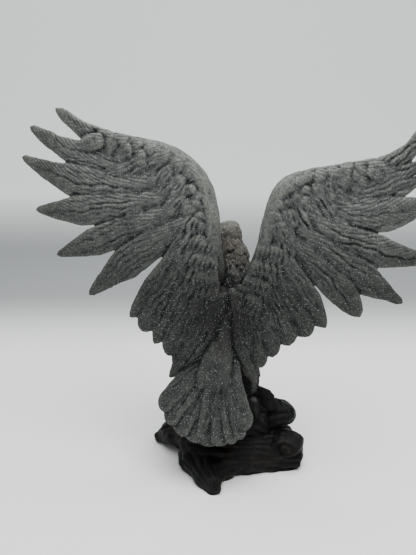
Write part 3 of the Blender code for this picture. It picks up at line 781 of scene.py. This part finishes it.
def on_neck(points):
    """The neck is pitted like coarse bark, more and more towards its middle."""
    off = np.hypot((points[:, 0] + 1) / 13, (points[:, 1] - 7) / 15)
    return np.clip(2.2 * (1 - off), 0, 1) * np.clip(1 - np.abs(points[:, 2] - FOOT - 100) / 14, 0, 1)


BIRD_LUMPS = [(7.0, 0.7, None), (1.7, 0.25, None), (3.0, 3.4, on_neck)]
eagle, pattern = melted(bird, "eagle_figure", BIRD_GRAIN, BIRD_LUMPS)
thinned(eagle, pattern, BIRD_TRIANGLES)
points = points_of(eagle) / MM
near_foot = np.hypot(np.abs(points[:, 0]) - ANKLE[0], points[:, 1] - ANKLE[1]) < SEAT_RADIUS
points[:, 2] = np.where(near_foot, np.maximum(points[:, 2], FOOT), points[:, 2])
put(eagle, np.clip(points, low, high))
find_hollows(eagle, rounds=14, depth=0.6)
# The black paint takes in the feet and shanks, by places in millimetres. The feathers that face the legs are painted
# black too, as painted shade.
out, back, up = np.abs(points[:, 0]), points[:, 1], points[:, 2] - FOOT
inner = (out < 15) & (back < -2) & (up < 25)
black_and_shade_places = (back > -18) & ((up < 9) | ((out > 19) & (up < 24)) | inner)
black_and_shade_layer = eagle.data.attributes.new("black_paint", "FLOAT", "POINT")
black_and_shade_layer.data.foreach_set("value", black_and_shade_places.astype(np.float32))
for template in (short_feather, flight_feather, covert_feather, lesser_feather):
    bpy.data.objects.remove(template)

# Glitter coat, sprayed: matt charcoal paint with fine silver flakes in it, thinner and browner on the neck. Its colour
# is painted lighter high up and darker low down, as painted light and shade. Real flakes are about 0.2 mm, and these
# are drawn 0.34 mm across so that they show. The barbs are drawn 2.1 mm apart, coarser than a carver's 0.5 mm
# scratches, for the same reason. Grooves are painted near black as painted shade, raised edges greyer as a painted
# highlight, the cleft between the wings and the outer wing tips darker as painted shade, and the feet are left black,
# with the feathers that face the legs painted black as painted shade.
CHARCOAL = "#464847"
GROOVE_SHADE_BLACK = "#141517"
EDGE_HIGHLIGHT_GREY = "#5c5e5a"
NECK_BROWN = "#504d47"
FLAKE_SILVER = "#96999a"
BLACK_PAINT_AND_SHADE = "#0c0c0d"
FLAKE = 0.34
BARB_PITCH, BARB_SLANT = 2.1, 0.42
NECK_CENTRE, CLEFT_SHADE_CENTRE = (-0.001, 0.008, 0.147), (-0.002, -0.016, 0.108)
TOP_LIGHT_LOW, TOP_LIGHT_HIGH = 0.130, 0.185
TIP_SHADE_START, TIP_SHADE_END = 0.085, 0.115

coat = bpy.data.materials.new("charcoal_glitter_coated_resin")
coat.use_nodes = True
tree = coat.node_tree
shader = tree.nodes["Principled BSDF"]
place = add_node(tree, "ShaderNodeTexCoord")
spot = add_node(tree, "ShaderNodeSeparateXYZ", {0: place.outputs["Object"]})
hollow = add_node(tree, "ShaderNodeAttribute", attribute_name="hollow")
# Near-black grooves: painted shade.
sunk = add_node(tree, "ShaderNodeMapRange", {"Value": hollow.outputs["Fac"], "From Min": 0.0, "From Max": 0.5})
# Greyer raised edges: painted highlight.
proud = add_node(tree, "ShaderNodeMapRange", {"Value": hollow.outputs["Fac"], "From Min": 0.0, "From Max": -0.5})
cloudy = add_node(tree, "ShaderNodeTexNoise", {"Vector": place.outputs["Object"], "Scale": 60.0, "Detail": 3.0})
speckle = add_node(tree, "ShaderNodeTexNoise", {"Vector": place.outputs["Object"], "Scale": 1000.0, "Detail": 1.0})
flake = add_node(tree, "ShaderNodeTexVoronoi", {"Vector": place.outputs["Object"], "Scale": 1000 / FLAKE})
chance = add_node(tree, "ShaderNodeSeparateColor", {0: flake.outputs["Color"]})
lit = add_node(tree, "ShaderNodeMapRange", {"Value": chance.outputs[0], "From Min": 0.95, "From Max": 1.0})

neck_at = add_node(tree, "ShaderNodeVectorMath", {0: place.outputs["Object"], 1: NECK_CENTRE},
                   operation="DISTANCE")
neck = add_node(tree, "ShaderNodeMapRange", {"Value": neck_at.outputs["Value"], "From Min": 0.020, "From Max": 0.010})
# Black paint on the feet, shanks and toes, and painted shade on the feathers that face the legs.
black_and_shade = add_node(tree, "ShaderNodeAttribute", attribute_name="black_paint")

tone = add_node(tree, "ShaderNodeMix", {0: proud.outputs[0], 6: linear(CHARCOAL), 7: linear(EDGE_HIGHLIGHT_GREY)},
                data_type="RGBA")
tone = add_node(tree, "ShaderNodeMix", {0: neck.outputs[0], 6: tone.outputs[2], 7: linear(NECK_BROWN)},
                data_type="RGBA")
tone = add_node(tree, "ShaderNodeMix", {0: sunk.outputs[0], 6: tone.outputs[2], 7: linear(GROOVE_SHADE_BLACK)},
                data_type="RGBA")
mottle = add_node(tree, "ShaderNodeMapRange", {"Value": speckle.outputs["Fac"], "From Min": 0.3, "From Max": 0.7,
                                               "To Min": 0.7, "To Max": 1.3})
patch = add_node(tree, "ShaderNodeMapRange", {"Value": cloudy.outputs["Fac"], "From Min": 0.3, "From Max": 0.7,
                                              "To Min": 0.86, "To Max": 1.14})
# Lighter high up and darker low down: painted light and shade.
height_light_and_shade = add_node(tree, "ShaderNodeMapRange", {"Value": spot.outputs["Z"], "From Min": TOP_LIGHT_LOW, "From Max": TOP_LIGHT_HIGH,
                                              "To Min": 0.46, "To Max": 1.32})
grain = add_node(tree, "ShaderNodeMath", {0: mottle.outputs[0], 1: patch.outputs[0]}, operation="MULTIPLY")
grain = add_node(tree, "ShaderNodeMath", {0: grain.outputs[0], 1: height_light_and_shade.outputs[0]}, operation="MULTIPLY")
# Darker in the cleft between the wings: painted shade.
cleft_at = add_node(tree, "ShaderNodeVectorMath", {0: place.outputs["Object"], 1: CLEFT_SHADE_CENTRE},
                    operation="DISTANCE")
cleft_shade = add_node(tree, "ShaderNodeMapRange", {"Value": cleft_at.outputs["Value"], "From Min": 0.008, "From Max": 0.030,
                                              "To Min": 0.35, "To Max": 1.0})
grain = add_node(tree, "ShaderNodeMath", {0: grain.outputs[0], 1: cleft_shade.outputs[0]}, operation="MULTIPLY")
# Darker towards the outer wing tips: painted shade.
out = add_node(tree, "ShaderNodeMath", {0: spot.outputs["X"]}, operation="ABSOLUTE")
tip_shade = add_node(tree, "ShaderNodeMapRange", {"Value": out.outputs[0], "From Min": TIP_SHADE_START, "From Max": TIP_SHADE_END,
                                             "To Min": 1.0, "To Max": 0.62})
grain = add_node(tree, "ShaderNodeMath", {0: grain.outputs[0], 1: tip_shade.outputs[0]}, operation="MULTIPLY")
tone = add_node(tree, "ShaderNodeVectorMath", {0: tone.outputs[2], "Scale": grain.outputs[0]}, operation="SCALE")
tone = add_node(tree, "ShaderNodeMix", {0: lit.outputs[0], 6: tone.outputs[0], 7: linear(FLAKE_SILVER)},
                data_type="RGBA")
tone = add_node(tree, "ShaderNodeMix", {0: black_and_shade.outputs["Fac"], 6: tone.outputs[2], 7: linear(BLACK_PAINT_AND_SHADE)},
                data_type="RGBA")
shine = add_node(tree, "ShaderNodeMath", {0: lit.outputs[0], 1: -0.3, 2: 0.72}, operation="MULTIPLY_ADD")
metal = add_node(tree, "ShaderNodeMath", {0: lit.outputs[0], 1: 0.35}, operation="MULTIPLY")

along = add_node(tree, "ShaderNodeAttribute", attribute_name="strand")
strand = add_node(tree, "ShaderNodeSeparateXYZ", {0: along.outputs["Vector"]})
sideways = add_node(tree, "ShaderNodeMath", {0: strand.outputs["Y"]}, operation="ABSOLUTE")
slant = add_node(tree, "ShaderNodeMath", {0: strand.outputs["X"], 1: BARB_SLANT}, operation="MULTIPLY")
phase = add_node(tree, "ShaderNodeMath", {0: sideways.outputs[0], 1: -1.0, 2: slant.outputs[0]},
                 operation="MULTIPLY_ADD")
wobble = add_node(tree, "ShaderNodeTexNoise", {"Vector": place.outputs["Object"], "Scale": 160.0, "Detail": 1.0})
bent = add_node(tree, "ShaderNodeMath", {0: wobble.outputs["Fac"], 1: 2.0, 2: phase.outputs[0]},
                operation="MULTIPLY_ADD")
wave = add_node(tree, "ShaderNodeMath", {0: bent.outputs[0], 1: 2 * math.pi / BARB_PITCH}, operation="MULTIPLY")
barb = add_node(tree, "ShaderNodeMath", {0: wave.outputs[0]}, operation="SINE")
feathered = add_node(tree, "ShaderNodeMapRange", {"Value": strand.outputs["X"], "From Min": -2.0, "From Max": 0.0})
barbs = add_node(tree, "ShaderNodeMath", {0: barb.outputs[0], 1: feathered.outputs[0]}, operation="MULTIPLY")
carved = add_node(tree, "ShaderNodeBump", {"Height": barbs.outputs[0], "Distance": 0.0003, "Strength": 0.6})
gritty = add_node(tree, "ShaderNodeBump", {"Height": speckle.outputs["Fac"], "Distance": 0.0004, "Strength": 0.5,
                                           "Normal": carved.outputs[0]})
flaky = add_node(tree, "ShaderNodeBump", {"Height": chance.outputs[1], "Distance": 0.00012, "Strength": 0.6,
                                          "Normal": gritty.outputs[0]})
shader.inputs["Specular IOR Level"].default_value = 0.2
tree.links.new(tone.outputs[2], shader.inputs["Base Color"])
tree.links.new(shine.outputs[0], shader.inputs["Roughness"])
tree.links.new(metal.outputs[0], shader.inputs["Metallic"])
tree.links.new(flaky.outputs[0], shader.inputs["Normal"])
eagle.data.materials.append(coat)
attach(eagle, "root")
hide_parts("eagle")

# Studio. A sheet of white paper lies under the figure and sweeps up behind it, square to the camera, with painted
# shade making it greyer towards the bend and painted light making its rising part glow, with a large soft light
# overhead, a faint one in front and pale surroundings.
PAPER_WHITE = "#ebedeb"
PAPER_SHADE_GREY = "#959899"
PAPER_GLOW = "#e6e9e8"
BEND_START, BEND_RADIUS = 0.55, 0.4
GREY_START, GREY_END = 0.15, 0.36
VIEW_TURN = 10.3
ROOM_COLOUR, ROOM_LIGHT = "#dfe3e4", 0.24
# Each lamp: name, place, what it is aimed at, size and power.
LAMPS = [("overhead", (0.10, -0.16, 0.95), (0, 0.0, 0.1), 0.8, 19.0),
         ("front_fill", (-0.4, -0.9, 0.7), (0, 0, 0.12), 0.7, 0.9)]
bpy.ops.object.select_all(action="DESELECT")
bpy.ops.mesh.primitive_grid_add(x_subdivisions=2, y_subdivisions=240, size=6)
floor = bpy.context.object
floor.name = "paper_sweep"
sheet = points_of(floor)
turn = np.clip((sheet[:, 1] - BEND_START) / BEND_RADIUS, 0, math.pi / 2)
up = np.maximum(0, sheet[:, 1] - BEND_START - BEND_RADIUS * math.pi / 2)
sheet = np.stack([sheet[:, 0], np.minimum(sheet[:, 1], BEND_START) + BEND_RADIUS * np.sin(turn),
                  BEND_RADIUS * (1 - np.cos(turn)) + up], 1)
put(floor, sheet / MM)
bpy.ops.object.shade_smooth()
paper = bpy.data.materials.new("matt_white_paper")
paper.use_nodes = True
tree = paper.node_tree
shader = tree.nodes["Principled BSDF"]
place = add_node(tree, "ShaderNodeTexCoord")
spot = add_node(tree, "ShaderNodeSeparateXYZ", {0: place.outputs["Object"]})
# Greyer towards the bend: painted shade.
back = add_node(tree, "ShaderNodeMapRange", {"Value": spot.outputs["Y"], "From Min": GREY_START, "From Max": GREY_END},
                interpolation_type="SMOOTHSTEP")
shade = add_node(tree, "ShaderNodeMix", {0: back.outputs[0], 6: linear(PAPER_WHITE), 7: linear(PAPER_SHADE_GREY)},
                 data_type="RGBA")
# The rising paper glows: painted light.
glow = add_node(tree, "ShaderNodeMapRange", {"Value": spot.outputs["Z"], "From Min": 0.0, "From Max": 0.06,
                                             "To Min": 0.0, "To Max": 0.88})
tree.links.new(shade.outputs[2], shader.inputs["Base Color"])
tree.links.new(glow.outputs[0], shader.inputs["Emission Strength"])
shader.inputs["Emission Color"].default_value = linear(PAPER_GLOW)
shader.inputs["Roughness"].default_value = 0.9
shader.inputs["Specular IOR Level"].default_value = 0.1
floor.data.materials.append(paper)
floor.rotation_euler = (0, 0, math.radians(VIEW_TURN))
floor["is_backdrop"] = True

world = bpy.data.worlds.new("pale_room")
world.use_nodes = True
world.node_tree.nodes["Background"].inputs["Color"].default_value = linear(ROOM_COLOUR)
world.node_tree.nodes["Background"].inputs["Strength"].default_value = ROOM_LIGHT
bpy.context.scene.world = world
for name, where, aim, size, power in LAMPS:
    bpy.ops.object.light_add(type="AREA", location=where)
    lamp = bpy.context.object
    lamp.name = name
    lamp.data.size = size
    lamp.data.energy = power
    way = np.array(aim) - np.array(where)
    lamp.rotation_euler = (math.acos(-way[2] / np.linalg.norm(way)), 0, math.atan2(way[1], way[0]) - math.pi / 2)

# Camera, behind the bird and a little to its right, at the photograph's height and angle. Its lens was fitted
# as a distance in pixels of the photograph.
CAMERA_PLACE, CAMERA_TILT = (0.0509, -0.3624, 0.241), 73
LENS_PIXELS, PHOTO_PIXELS, SENSOR = 600, 555, 36
bpy.ops.object.camera_add(location=CAMERA_PLACE, rotation=(math.radians(CAMERA_TILT), 0, math.radians(VIEW_TURN)))
camera = bpy.context.object
camera.data.sensor_width = SENSOR
camera.data.lens = LENS_PIXELS / PHOTO_PIXELS * SENSOR
bpy.context.scene.camera = camera

low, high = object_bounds()
